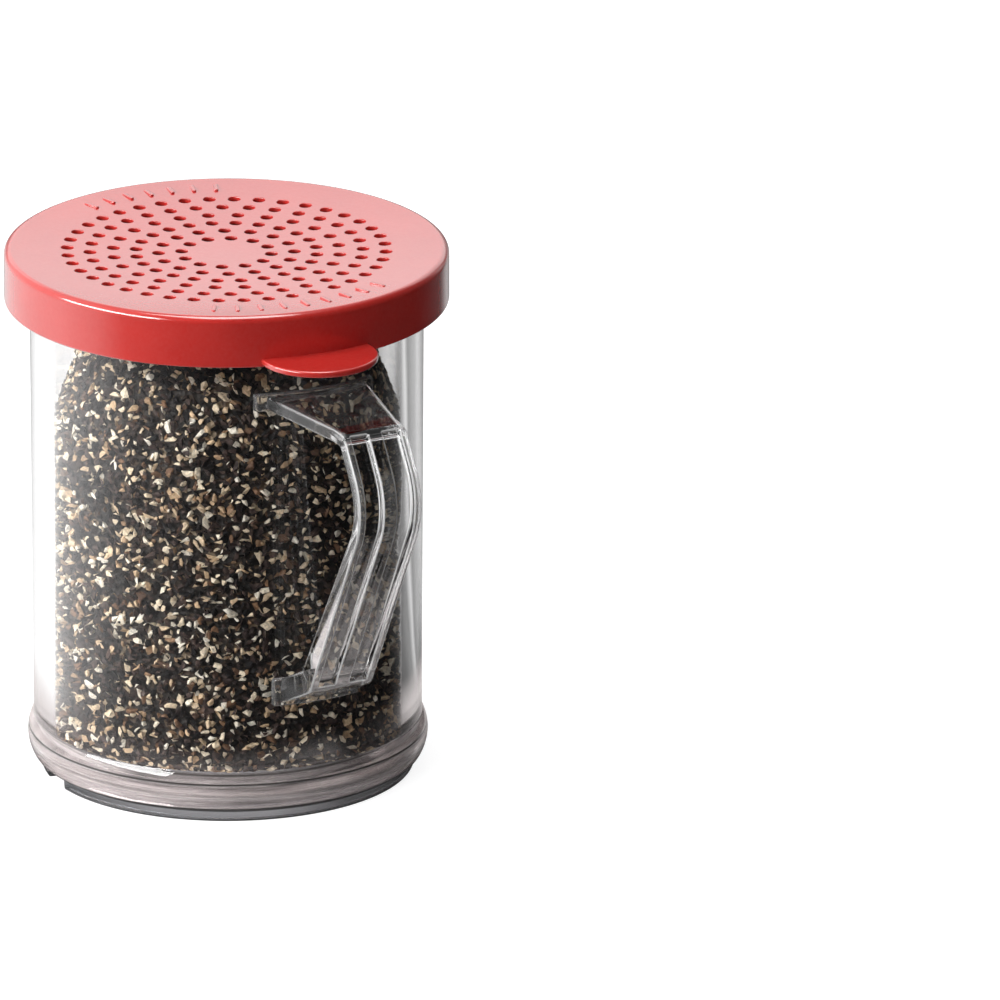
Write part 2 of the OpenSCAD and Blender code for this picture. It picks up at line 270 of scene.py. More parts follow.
# Tints of the clear plastic: above the base, in the cup's base band and in the base plate
CLEAR_TINT, BAND_TINT, PLATE_TINT = (0.99, 0.985, 0.985), (0.93, 0.88, 0.875), (0.86, 0.89, 0.93)
SHADOW_TINT = (0.95, 0.955, 0.96)
# Painted shade low in the lid's holes and under its plate: its colour, and the radii between which
# it ends
HOLE_SHADE, HOLE_SHADE_R = (0.03, 0.008, 0.007), (34.5, 35.5)
UP = (0, 0, 1)


def put(tree, node, sockets):
    """Gives a node's sockets, by name or number, their values or links them to other nodes."""
    for key, value in sockets.items():
        socket = node.inputs[key]
        if isinstance(value, bpy.types.NodeSocket):
            tree.links.new(value, socket)
        else:
            socket.default_value = (*value, 1) if socket.type == "RGBA" else value


def new_node(tree, kind, sockets=None, **settings):
    """A new shader node with its settings, and with its sockets as put() takes them."""
    node = tree.nodes.new("ShaderNode" + kind)
    for name, value in settings.items():
        setattr(node, name, value)
    put(tree, node, sockets or {})
    return node


def material(name):
    """A new material: itself, its node tree, its shader and its output node."""
    mat = bpy.data.materials.new(name)
    mat.use_nodes = True
    tree = mat.node_tree
    tree.nodes.clear()
    shader = new_node(tree, "BsdfPrincipled")
    out = new_node(tree, "OutputMaterial", {"Surface": shader.outputs[0]})
    return mat, tree, shader, out


def mix_shaders(tree, factor, first, second, out):
    """Shows the second shader instead of the first where the factor is 1."""
    mix = new_node(tree, "MixShader", {0: factor, 1: first.outputs[0], 2: second.outputs[0]})
    put(tree, out, {"Surface": mix.outputs[0]})


def object_coord(tree):
    """A point's place on the shaker, in metres."""
    return new_node(tree, "TexCoord").outputs["Object"]


def noise(tree, scale, detail, rough, stretch=None):
    """3-D noise in object space. Scale is in features per metre."""
    source = object_coord(tree)
    if stretch:
        source = new_node(tree, "Mapping", {"Vector": source, "Scale": stretch}).outputs["Vector"]
    sockets = {"Vector": source, "Scale": scale, "Detail": detail, "Roughness": rough}
    return new_node(tree, "TexNoise", sockets).outputs["Fac"]


def spread(tree, value, low, high, start=0.3, end=0.7):
    """Maps a value from start..end to low..high."""
    sockets = {"Value": value, "From Min": start, "From Max": end, "To Min": low, "To Max": high}
    return new_node(tree, "MapRange", sockets).outputs["Result"]


def bump(tree, shader, height, distance, strength=1.0, normal=None):
    """Gives the shader a bump, distance metres high. It adds to the bump that normal carries."""
    sockets = {"Height": height, "Distance": distance, "Strength": strength}
    if normal is not None:
        sockets["Normal"] = normal
    raised = new_node(tree, "Bump", sockets).outputs["Normal"]
    put(tree, shader, {"Normal": raised})
    return raised


def ramp(tree, value, stops):
    """The colour for a value from 0 to 1, between stops of (position, colour)."""
    node = new_node(tree, "ValToRGB", {"Fac": value})
    elements = node.color_ramp.elements
    while len(elements) > 1:
        elements.remove(elements[-1])
    elements[0].position, elements[0].color = stops[0][0], (*stops[0][1], 1)
    for position, colour in stops[1:]:
        elements.new(position).color = (*colour, 1)
    return node.outputs["Color"]


def mix_colour(tree, factor, a, b, blend="MIX"):
    sockets = {"Factor": factor, 6: a, 7: b}
    return new_node(tree, "Mix", sockets, data_type="RGBA", blend_type=blend).outputs[2]


def math_node(tree, operation, *values):
    return new_node(tree, "Math", dict(enumerate(values)), operation=operation).outputs[0]


def times(tree, a, b):
    return math_node(tree, "MULTIPLY", a, b)


def vector_math(tree, operation, vector, by=(0, 0, 0)):
    return new_node(tree, "VectorMath", {0: vector, 1: by}, operation=operation).outputs


def along(tree, vector, axis):
    """How far a vector reaches along an axis."""
    return vector_math(tree, "DOT_PRODUCT", vector, axis)["Value"]


def grey(level):
    return (level, level, level)


def either(tree, a, b):
    return math_node(tree, "MAXIMUM", a, b)


def within(tree, value, span):
    """1 where a length lies in the span, given in mm, and 0 outside it."""
    above = math_node(tree, "GREATER_THAN", value, span[0] * MM)
    return times(tree, above, math_node(tree, "LESS_THAN", value, span[1] * MM))


def length_of(tree, vector):
    return vector_math(tree, "LENGTH", vector)["Value"]


def from_axis(tree, vector):
    """Distance from the cup's axis."""
    return length_of(tree, vector_math(tree, "MULTIPLY", vector, (1, 1, 0))["Vector"])


def grime_and_shade_lines(tree, height, radius):
    """The dark lines round the base, on the outside of cup and base plate: dirt and painted shade.
    """
    share = math_node(tree, "DIVIDE", height, GRIME_SHADE_TOP * MM)
    lines = ramp(tree, share, [(z / GRIME_SHADE_TOP, grey(level)) for z, level in GRIME_SHADE_LINES])
    outside = spread(tree, radius, 0, 1, (BOND_R[0] - 0.1) * MM, BOND_R[0] * MM)
    return times(tree, lines, outside)


def painted_edge_highlight(tree, radius, strength):
    """How much light the convex edges scatter, away from the wall: a painted highlight along them.
    """
    point = new_node(tree, "NewGeometry").outputs["Pointiness"]
    edges = spread(tree, point, 0, strength, *EDGE_HIGHLIGHT_POINT)
    away = spread(tree, radius, 0.15, 1, *(r * MM for r in EDGE_HIGHLIGHT_R))
    return times(tree, edges, away)


def clear_plastic(name, base_tint, wave, edge_highlight=0.0):
    """Moulded polycarbonate that lamps shine through. Round its base it is scuffed, with dirt and
    painted shade in the seams, a painted contact shadow on its lowest edge and a frosted bond. Its
    convex edges scatter whitish light as a painted highlight, as much as the last argument says."""
    mat, tree, shader, out = material(name)
    haze = noise(tree, 350, 4, 0.6)
    bump(tree, shader, noise(tree, 60, 2, 0.4, (1, 1, 0.35)), wave)
    coord = object_coord(tree)
    height, radius = along(tree, coord, UP), from_axis(tree, coord)
    low = spread(tree, height, 1, 0, BAND_Z * MM, (BAND_TOP_Z + 1) * MM)
    dull = math_node(tree, "MULTIPLY_ADD", low, 0.05, spread(tree, haze, 0.004, 0.03))
    scuffs = spread(tree, noise(tree, 500, 4, 0.6, (0.12, 0.12, 4)), 0.1, 1.9)
    worn = times(tree, scuffs, times(tree, low, SCUFFED))
    # Dark lines round the base: dirt, with painted shade in the seams and on the lowest edge
    grime_and_shade = grime_and_shade_lines(tree, height, radius)
    bond = times(tree, within(tree, radius, BOND_R), within(tree, height, BOND_Z))
    frost_and_highlight = times(tree, times(tree, bond, FROSTED), scuffs)
    # Whitish convex edges: a painted highlight, added to the frosted bond
    if edge_highlight:
        frost_and_highlight = either(tree, frost_and_highlight, painted_edge_highlight(tree, radius, edge_highlight))
    clear = math_node(tree, "SUBTRACT", 1.0, worn)
    clear = math_node(tree, "SUBTRACT", clear, either(tree, grime_and_shade, frost_and_highlight))
    tint = mix_colour(tree, bond, mix_colour(tree, low, CLEAR_TINT, base_tint), BOND_TINT)
    tint = mix_colour(tree, grime_and_shade, tint, GRIME_SHADE_COLOUR)
    put(tree, shader, {"Base Color": tint, "Roughness": dull, "IOR": 1.585,
                       "Transmission Weight": clear})
    through = new_node(tree, "BsdfTransparent", {"Color": SHADOW_TINT})
    path = new_node(tree, "LightPath").outputs
    mix_shaders(tree, path["Is Shadow Ray"], shader, through, out)
    return mat


def rose_plastic():
    """Rose red moulded lid, finely grained and faintly clouded, with painted shade low in its
    holes.
    """
    mat, tree, shader, _ = material("rose_moulded")
    clouds = noise(tree, 55, 3, 0.55)
    colour = ramp(tree, clouds, [(0.3, (0.56, 0.024, 0.020)), (0.7, (0.64, 0.032, 0.026))])
    specks = spread(tree, noise(tree, 1400, 2, 0.6), 0, 0.08)
    colour = mix_colour(tree, specks, colour, (0.75, 0.16, 0.13))
    coord = object_coord(tree)
    # Darker low in the holes and under the plate: painted shade
    hole_shade_z = (LID_SEAT_Z + 0.6) * MM, (LID_TOP - DISH - 0.1) * MM
    deep = spread(tree, along(tree, coord, UP), 1, 0, *hole_shade_z)
    inside = spread(tree, from_axis(tree, coord), 1, 0, *(r * MM for r in HOLE_SHADE_R))
    put(tree, shader, {
        "Base Color": mix_colour(tree, times(tree, deep, inside), colour, HOLE_SHADE),
        "Roughness": spread(tree, noise(tree, 700, 4, 0.6), 0.16, 0.24),
        "IOR": 1.49, "Coat Weight": 1.0, "Coat Roughness": 0.12, "Coat IOR": 1.7,
        "Subsurface Weight": 0.05, "Subsurface Radius": (0.0012, 0.0004, 0.0003),
        "Subsurface Scale": 1.0,
    })
    grain = bump(tree, shader, noise(tree, 2600, 2, 0.5), 0.00001, 0.6)
    bump(tree, shader, noise(tree, 90, 2, 0.4), 0.00006, 1.0, grain)
    return mat


def attribute(tree, name):
    """A number that the mesh carries for each face."""
    return new_node(tree, "Attribute", attribute_name=name).outputs["Fac"]


def spice_grain():
    """Cracked peppercorns: black skin, brown bits and cream hearts with skin on one side."""
    mat, tree, shader, _ = material("spice_cracked")
    tone = attribute(tree, "tone")
    body = ramp(tree, tone, [
        (0.0, (0.004, 0.003, 0.003)), (0.30, (0.012, 0.009, 0.009)), (0.42, (0.070, 0.045, 0.038)),
        (0.52, (0.24, 0.13, 0.07)), (0.59, (0.68, 0.48, 0.29)), (0.80, (0.90, 0.76, 0.55)),
        (1.0, (0.97, 0.91, 0.78)),
    ])
    mottle = spread(tree, noise(tree, 2200, 3, 0.6), 0.55, 1.15)
    body = mix_colour(tree, 1.0, body, mottle, "MULTIPLY")
    skin = [(0.3, (0.010, 0.008, 0.008)), (0.7, (0.09, 0.06, 0.05))]
    skin = ramp(tree, noise(tree, 900, 2, 0.5), skin)
    put(tree, shader, {
        "Base Color": mix_colour(tree, attribute(tree, "skin"), body, skin),
        "Roughness": spread(tree, noise(tree, 1200, 2, 0.5), 0.45, 0.75),
        "Specular IOR Level": 0.2,
    })
    bump(tree, shader, noise(tree, 3000, 3, 0.6), 0.00006, 0.8)
    return mat


def spice_heart():
    """The dark mass between and behind the grains. Its near-black is partly painted shade in the
    gaps between the grains.
    """
    mat, tree, shader, _ = material("spice_mass")
    cells = new_node(tree, "TexVoronoi", {"Vector": object_coord(tree), "Scale": 900}).outputs
    level = new_node(tree, "RGBToBW", {"Color": cells["Color"]}).outputs[0]
    put(tree, shader, {
        # Near-black: the pepper's colour, deepened as painted shade in the gaps
        "Base Color": ramp(tree, level, [
            (0.0, (0.008, 0.007, 0.006)), (0.65, (0.022, 0.016, 0.012)),
            (0.80, (0.08, 0.05, 0.03)), (0.95, (0.40, 0.31, 0.20)),
        ]),
        "Roughness": spread(tree, noise(tree, 1000, 2, 0.5), 0.6, 0.85),
    })
    bump(tree, shader, cells["Distance"], 0.0006, 0.9)
    return mat


# ---- cup and base plate

def build_cup(mat):
    """One moulding: wall, base band, rim, and the socket for the base plate."""
    arc = []
    a0 = math.asin((FOOT_H - BAND_Z) / BAND_ROUND)
    a1 = math.acos((WALL_BASE_R - BAND_CENTRE_R) / BAND_ROUND)
    for a in np.linspace(a0, a1, 14):
        arc.append((BAND_CENTRE_R + BAND_ROUND * math.cos(a), BAND_Z + BAND_ROUND * math.sin(a), 0))
    arc[0] = (*arc[0][:2], 0.25)
    arc[-1] = (*arc[-1][:2], 1.2)
    corners = [(SOCKET_R, FOOT_H, 0.2)] + arc + [
        (WALL_BASE_R, BAND_TOP_Z, 0),
        (WALL_TOP_R, RIM_Z, 0.5),
        (RIM_R, RIM_Z, 0.35),
        (RIM_R, SEAT_Z, 0.5),
        (BORE_R, SEAT_Z, 0.5),
        (BORE_R, FLANGE_Z, 0.12),
        (SOCKET_R, FLANGE_Z, 0.12),
    ]
    angles = np.linspace(0, 2 * math.pi, 288, endpoint=False)
    verts, faces = lathe(rounded_path(corners, steps=5), angles)
    return make_object("shaker_cup", verts, faces, mat)


def notch_angles(count):
    """Angles round the ring, close together at the notch's two sides."""
    middle = math.radians(NOTCH_TURN)
    half = math.asin(NOTCH_W / 2 / FOOT_R)
    edge = NOTCH_EDGE / FOOT_R
    marks = [middle + side * (half + k * edge) for side in (-1, 1) for k in (0, 0.33, 0.66, 1)]
    step = 2 * math.pi / count
    plain = [middle + k * step for k in range(count)]
    kept = [a for a in plain
            if min(abs(math.remainder(a - b, 2 * math.pi)) for b in marks) > step * 0.4]
    return np.array(sorted(math.remainder(a - middle, 2 * math.pi) for a in kept + marks)) + middle


def build_base(mat):
    """Floor, flange and foot ring, with one drain notch cut through the ring."""
    inner = FOOT_R - FOOT_W
    corners = [
        (0, PLATE_Z, 0),
        (inner, PLATE_Z, 0.6),
        (inner, 0, 0.35),
        (FOOT_R, 0, 0.4),
        (FOOT_R, FOOT_H, 0.25),
        (SOCKET_R - BOND_GAP, FOOT_H, 0.2),
        (SOCKET_R - BOND_GAP, FLANGE_Z, 0.15),
        (BORE_R - BOND_GAP, FLANGE_Z, 0.15),
        (BORE_R - BOND_GAP, FLOOR_Z, 0.3),
        (0, FLOOR_Z, 0),
    ]
    path = rounded_path(corners, closed=False)
    angles = notch_angles(256)
    verts, faces = lathe(path, angles)
    verts = verts.reshape(len(angles), len(path), 3)
    half = math.asin(NOTCH_W / 2 / FOOT_R)
    off = np.abs([math.remainder(a - math.radians(NOTCH_TURN), 2 * math.pi) for a in angles])
    lift = np.clip((half + NOTCH_EDGE / FOOT_R - off) / (NOTCH_EDGE / FOOT_R), 0, 1)
    lift = (lift * lift * (3 - 2 * lift))[:, None]
    low = path[None, :, 1]
    cut = FOOT_H - NOTCH_LEFT + low * NOTCH_LEFT / FOOT_H
    ring = (low < FOOT_H) & (path[None, :, 0] > 1)
    verts[:, :, 2] = np.where(ring, low + (cut - low) * lift, low)
    return make_object("shaker_base", verts.reshape(-1, 3), faces, mat)


# ---- handle

def outward(a, b):
    """The direction out of the strap's outer face between two of its corners."""
    d = unit(np.array(b, float) - np.array(a, float))
    return np.array([-d[1], d[0]])


def strap_corners():
    """The strap's corners, with its two ends moved into the wall."""
    points = [np.array(p, float) for p in STRAP]
    points[0] = points[0] + LEG_ROOT * unit(points[0] - points[1])
    points[-1] = points[-1] + LEG_ROOT * unit(points[-1] - points[-2])
    return points


def strap_bend(points, i, inset):
    """The arc at one corner of the strap, for a line that runs inset mm below its outer face."""
    n1, n2 = outward(points[i - 1], points[i]), outward(points[i], points[i + 1])
    mid = unit(n1 + n2)
    r = max(STRAP_ROUNDS[i], inset + INNER_ROUND)
    centre = points[i] - mid * r / (n1 @ mid)
    a1, a2 = math.atan2(n1[1], n1[0]), math.atan2(n2[1], n2[0])
    return [centre + (r - inset) * np.array([math.cos(a), math.sin(a)])
            for a in np.linspace(a1, a2, BEND_STEPS + 1)]


def strap_line(depths):
    """A line along the strap that runs at the given depths below its outer face."""
    points = strap_corners()
    first = points[0] - depths[0] * outward(points[0], points[1])
    last = points[-1] - depths[-1] * outward(points[-2], points[-1])
    bends = [p for i in (1, 2, 3) for p in strap_bend(points, i, depths[i])]
    return [first] + bends + [last]


def panel_end(outer, inner, i, toward):
    """Close stations at one end of the panels. toward says on which side the panels lie."""
    gap = np.linalg.norm(outer[i + toward] - outer[i])
    marks = [(0, 0), (0.08, 0.12), (0.25, 0.88), (0.4, 1)]
    near = [(outer[i] + (outer[i + toward] - outer[i]) * d / gap,
             inner[i] + (inner[i + toward] - inner[i]) * d / gap, f) for d, f in marks]
    return near[::toward]


def strap_stations():
    """Matched points of the strap's outer and inner face, and the share of the panels' depth that
    is sunk there, from the top leg's root to the lower leg's."""
    outer, inner = strap_line([0] * len(STRAP)), strap_line(STRAP_DEPTHS)
    begin, end = 1 + BEND_STEPS // 2, 1 + 2 * (BEND_STEPS + 1)
    rows = []
    for i in range(len(outer)):
        if i in (begin, end):
            rows += panel_end(outer, inner, i, 1 if i == begin else -1)
        else:
            rows.append((outer[i], inner[i], 1.0 if begin < i < end else 0.0))
        if i + 1 < len(outer):
            parts = int(np.linalg.norm(outer[i + 1] - outer[i]) // STATION)
            for k in range(1, parts):
                t = k / parts
                between = [line[i] * (1 - t) + line[i + 1] * t for line in (outer, inner)]
                rows.append((*between, 1.0 if begin <= i < end else 0.0))
    return rows


def panel_edge(y, side):
    """Points (y, share of the panel's depth) over the edge at y, where the panel lies on side."""
    profile = [(-0.4, 0), (-0.22, 0), (-0.06, 0.07), (0, 0.24),
               (0.1, 0.78), (0.17, 0.93), (0.34, 1), (0.55, 1)]
    return [(y + side * step, depth) for step, depth in profile]


def strap_section(half, depth, sunk):
    """The strap's cross-section as (across, depth below the outer face)."""
    f = STRAP_EDGE
    corner = [(f * (1 - math.sin(a)), f * (1 - math.cos(a)))
              for a in np.linspace(0, math.pi / 2, 5)]
    outer_y, inner_y = STRAP_W / 2 - LIP_W, RIB_W / 2
    face = panel_edge(-outer_y, 1) + panel_edge(-inner_y, -1)[::-1]
    face += panel_edge(inner_y, 1) + panel_edge(outer_y, -1)[::-1]
    rows = [(-half, 0.7)]
    rows += [(-half + x, y) for x, y in corner[::-1]]
    rows += [(y, d * PANEL_DEEP * sunk) for y, d in face]
    rows += [(half - x, y) for x, y in corner]
    rows += [(half, 0.7), (half, depth - 0.7)]
    rows += [(half - x, depth - y) for x, y in corner[::-1]]
    rows += [(half - 0.9, depth), (0, depth), (-half + 0.9, depth)]
    rows += [(-half + x, depth - y) for x, y in corner]
    rows += [(-half, depth - 0.7)]
    return rows


def half_width(x, z):
    """Half of the strap's width at a radius and height."""
    upper = z > LEG_SPLIT_Z
    leg, taper = (TOP_LEG_W, TOP_TAPER_X) if upper else (LOW_LEG_W, LOW_TAPER_X)
    t = np.clip((x - WALL_BASE_R) / (taper - WALL_BASE_R), 0, 1)
    return leg / 2 + (STRAP_W / 2 - leg / 2) * t


def wall_r(z):
    """Outer radius of the cup's wall at a height."""
    return WALL_BASE_R + (WALL_TOP_R - WALL_BASE_R) * (z - BAND_TOP_Z) / (RIM_Z - BAND_TOP_Z)


def at_wall(x, y, z, end, near):
    """Slides a point of the strap's end along its leg until it stands just outside the wall."""
    slope = (near[1] - end[1]) / (near[0] - end[0])
    at = math.sqrt((wall_r(z) + LEG_END) ** 2 - y * y)
    return at, y, z + slope * (at - x)


def build_strap():
    """The strap as one solid, whose two ends follow the round wall."""
    stations = strap_stations()
    free = [row for row in stations if row[0][0] > WALL_TOP_R + LEG_CLEAR]
    rows = [stations[0]] + free + [stations[-1]]
    rings = []
    for i, (outer, inner, sunk) in enumerate(rows):
        depth = np.linalg.norm(outer - inner)
        down = (inner - outer) / depth
        half = half_width(max(outer[0], WALL_BASE_R), outer[1])
        ring = []
        for y, d in strap_section(half, depth, sunk):
            x, z = outer + down * d
            point = (x, y, z)
            if i in (0, len(rows) - 1):
                near = rows[1] if i == 0 else rows[-2]
                point = at_wall(x, y, z, outer, near[0])
            ring.append(point)
        rings.append(ring)
    return capped(np.array(rings))


def build_pad(width, low, high):
    """A curved pad that hugs the wall between two heights."""
    half = width / 2
    middle = [(y, 0) for y in np.linspace(-half + 0.6, half - 0.6, 25)]
    end = [(half - PAD_EDGE, 0), (half - 0.09, 0.09), (half, PAD_EDGE)]
    start = [(-y, inset) for y, inset in reversed(end)]
    rings = []
    for y, inset in start + middle + end:
        foot, crown = low + inset, high - inset
        section = [(-WELD, foot, 0.0), (PAD_T - inset, foot, PAD_EDGE),
                   (PAD_T - inset, crown, PAD_EDGE), (-WELD, crown, 0.0)]
        ring = []
        for proud, z in rounded_path(section, steps=3, support=0.05):
            r = wall_r(z) + proud
            ring.append((math.sqrt(r * r - y * y), y, z))
        rings.append(ring)
    return capped(np.array(rings))


def join_solid(target, others):
    """Adds the other solids to the target by exact union and deletes them."""
    for other in others:
        join = target.modifiers.new("join", "BOOLEAN")
        join.operation = "UNION"
        join.solver = "EXACT"
        join.object = other
    depsgraph = bpy.context.evaluated_depsgraph_get()
    joined = bpy.data.meshes.new_from_object(target.evaluated_get(depsgraph))
    target.modifiers.clear()
    old = target.data
    target.data = joined
    joined.name = old.name + "_joined"
    bpy.data.meshes.remove(old)
    for other in others:
        mesh = other.data
        bpy.data.objects.remove(other)
        bpy.data.meshes.remove(mesh)
    joined.shade_smooth()
    joined.set_sharp_from_angle(angle=SHARP)


def facing_out(verts, faces):
    """Turns the faces over where the solid's volume comes out negative."""
    volume = 0.0
    for face in faces:
        for k in range(1, len(face) - 1):
            volume += np.dot(verts[face[0]], np.cross(verts[face[k]], verts[face[k + 1]]))
    return verts, faces if volume > 0 else [f[::-1] for f in faces]


def build_handle(mat):
    """The strap with a pad at the wall end of each leg."""
    strap = make_object("shaker_handle", *facing_out(*build_strap()), mat)
    top_z, low_z = STRAP[0][1] - STRAP_DEPTHS[0] / 2, STRAP[-1][1] + STRAP_DEPTHS[-1] / 2
    top_h, low_h = STRAP_DEPTHS[0] / 2 + PAD_OVER, STRAP_DEPTHS[-1] / 2 + PAD_OVER
    top_pad = build_pad(TOP_PAD_W, top_z - top_h, top_z + top_h)
    low_pad = build_pad(LOW_PAD_W, low_z - low_h, low_z + low_h)
    join_solid(strap, [
        make_object("pad_top", *facing_out(*top_pad), mat),
        make_object("pad_low", *facing_out(*low_pad), mat),
    ])
    return strap


# ---- lid

def dish_z(r):
    """Height of the lid's dished top at a radius."""
    return LID_TOP - DISH * (1 - (r / DISH_R) ** 2)


def lid_cell(inner_r, outer_r, hole_at, first, last):
    """One hole and the plate round it. first and last are steps of the shared circle."""
    step = 2 * math.pi / CIRCLE
    across = [inner_r + (outer_r - inner_r) * k / 4 for k in range(1, 4)]
    edge = [(outer_r, k * step) for k in range(first, last + 1)]
    edge += [(r, last * step) for r in reversed(across)]
    edge += [(inner_r, k * step) for k in range(last, first - 1, -1)]
    edge += [(r, first * step) for r in across]
    edge = np.array(edge)
    xy = np.column_stack([edge[:, 0] * np.cos(edge[:, 1]), edge[:, 0] * np.sin(edge[:, 1])])
    centre = np.array(hole_at)
    away = xy - centre
    away /= np.linalg.norm(away, axis=1, keepdims=True)

    def top(points, drop=0.0):
        return np.column_stack([points, dish_z(np.linalg.norm(points, axis=1)) - drop])

    def bottom(points, rise=0.0):
        return np.column_stack([points, np.full(len(points), LID_SEAT_Z + rise)])

    f = HOLE_EDGE
    return loops(np.array([
        top(xy),
        top(centre + away * (HOLE_R + 2.0 * f)),
        top(centre + away * (HOLE_R + f)),
        top(centre + away * (HOLE_R + 0.5 * f), 0.134 * f),
        top(centre + away * (HOLE_R + 0.134 * f), 0.5 * f),
        top(centre + away * HOLE_R, f),
        bottom(centre + away * HOLE_R, 0.1),
        bottom(centre + away * (HOLE_R + 0.1)),
        bottom(xy),
    ]))


def lid_plate():
    """The rings of cells, each with its hole."""
    parts = []
    for k, count in enumerate(RING_HOLES):
        ring = RING_R + k * RING_STEP
        span = CIRCLE // count
        for c in range(count):
            a = 2 * math.pi * c / count
            first = c * span - span // 2
            parts.append(lid_cell(ring - RING_STEP / 2, ring + RING_STEP / 2,
                                  (ring * math.cos(a), ring * math.sin(a)), first, first + span))
    return parts


def lid_turned():
    """The plate's centre, and everything outside the outermost ring of holes."""
    angles = np.linspace(0, 2 * math.pi, CIRCLE, endpoint=False)
    centre_r = RING_R - RING_STEP / 2
    radii = [centre_r * k / 5 for k in range(6)]
    top = np.array([(r, dish_z(r)) for r in reversed(radii)])
    low = np.array([(r, LID_SEAT_Z) for r in radii])
    edge_r = RING_R + (len(RING_HOLES) - 0.5) * RING_STEP
    corners = [
        (edge_r, LID_SEAT_Z, 0),
        (SKIRT_R, LID_SEAT_Z, 0.6),
        (SKIRT_R, BEAD_TOP_Z, 0.1),
        (BEAD_R, BEAD_TOP_Z, 0.15),
        (BEAD_R, BEAD_TOP_Z - BEAD_H, 0.15),
        (SKIRT_R, BEAD_TOP_Z - BEAD_H, 0.1),
        (SKIRT_R, LID_Z, 0.3),
        (LID_R, LID_Z, 0.45),
    ]
    lower = rounded_path(corners + [(LID_R, LID_TOP - 4, 0)], closed=False, steps=3)
    bend = [(DISH_R + LID_ROUND * math.cos(a), LID_TOP - LID_ROUND + LID_ROUND * math.sin(a))
            for a in np.linspace(0, math.pi / 2, 10)]
    bend = [(LID_R, LID_TOP - LID_ROUND - 0.2)] + bend
    dish = [(r, dish_z(r)) for r in np.linspace(DISH_R - 0.25, edge_r, 6)]
    rim = np.array([*lower, *bend, *dish])
    return [lathe(path, angles, closed=False) for path in (top, low, rim)]


def lid_tab():
    """The round pull tab, from inside the skirt outwards."""
    root = LID_R - TAB_ROOT
    reach = math.acos((root ** 2 - LID_R ** 2 - TAB_R ** 2) / (2 * LID_R * TAB_R))
    outline = [(LID_R + TAB_R * math.cos(a), TAB_R * math.sin(a))
               for a in np.linspace(-reach, reach, 72)]
    side = math.atan2(outline[-1][1], outline[-1][0])
    outline += [(root * math.cos(a), root * math.sin(a))
                for a in np.linspace(side, -side, 24)[1:-1]]
    return slab(outline, TAB_Z, TAB_Z + TAB_T, TAB_EDGE, 4)


def lid_tick(turn):
    """A low raised mark with rounded ends, flush with the lid's highest edge."""
    half_l, half_w, r = TICK_L / 2, TICK_W / 2, TICK_ROUND
    outline = []
    for cx, cy, a0 in ((1, 1, 0), (-1, 1, 90), (-1, -1, 180), (1, -1, 270)):
        for k in range(5):
            a = math.radians(a0 + 22.5 * k)
            outline.append((TICK_R + cx * (half_l - r) + r * math.cos(a),
                            cy * (half_w - r) + r * math.sin(a)))
    verts, faces = slab(outline, LID_TOP - 1.2, LID_TOP, TICK_EDGE, 3)
    return turned_about_z(verts, turn), faces


def lid_ticks(middle, count):
    """A row of ticks round a middle direction."""
    return [lid_tick(middle + (i - (count - 1) / 2) * TICK_STEP) for i in range(count)]


def build_lid(mat):
    """Plate, skirt, ticks and tab as one mesh."""
    ticks = lid_ticks(0, TICKS_TAB) + lid_ticks(180, TICKS_FAR)
    verts, faces = together(lid_plate() + lid_turned() + ticks + [lid_tab()])
    return make_object("lid_shell", turned_about_z(verts, TAB_TURN), faces, mat)


# ---- spice

def chip_shapes(rng, count):
    """Angular chips: hulls of a few points on a squashed ball, with each face's normal height."""
    shapes = []
    for _ in range(count):
        points = rng.normal(size=(int(rng.integers(8, 12)), 3))
        points /= np.linalg.norm(points, axis=1, keepdims=True)
        points *= np.array([1.0, rng.uniform(0.45, 0.85), rng.uniform(0.3, 0.65)])
        bm = bmesh.new()
        for p in points:
            bm.verts.new(p)
        bmesh.ops.convex_hull(bm, input=bm.verts)
        bmesh.ops.triangulate(bm, faces=bm.faces)
        bmesh.ops.recalc_face_normals(bm, faces=bm.faces)
        bm.verts.index_update()
        verts = np.array([v.co for v in bm.verts])
        faces = np.array([[v.index for v in f.verts] for f in bm.faces])
        up = np.array([f.normal.z for f in bm.faces])
        bm.free()
        shapes.append((verts / 2, faces, up))
    return shapes


def random_turns(rng, normals):
    """Rotation matrices that lay a chip flat against a surface, give or take a tilt."""
    n = len(normals)
    z = normals + rng.normal(size=(n, 3)) * CHIP_TILT
    z *= rng.choice([-1.0, 1.0], size=(n, 1))
    z /= np.linalg.norm(z, axis=1, keepdims=True)
    x = np.cross(z, rng.normal(size=(n, 3)))
    x /= np.linalg.norm(x, axis=1, keepdims=True)
    return np.stack([x, np.cross(z, x), z], 2)


def chip_object(name, verts, faces, layers, mat):
    """A mesh object with one number for each face in each of its layers."""
    mesh = bpy.data.meshes.new(name)
    mesh.from_pydata((np.concatenate(verts) * MM).tolist(), [], np.concatenate(faces).tolist())
    for label, values in layers.items():
        layer = mesh.attributes.new(label, "FLOAT", "FACE")
        layer.data.foreach_set("value", np.concatenate(values).astype(np.float32))
    mesh.materials.append(mat)
    return place(name, mesh)


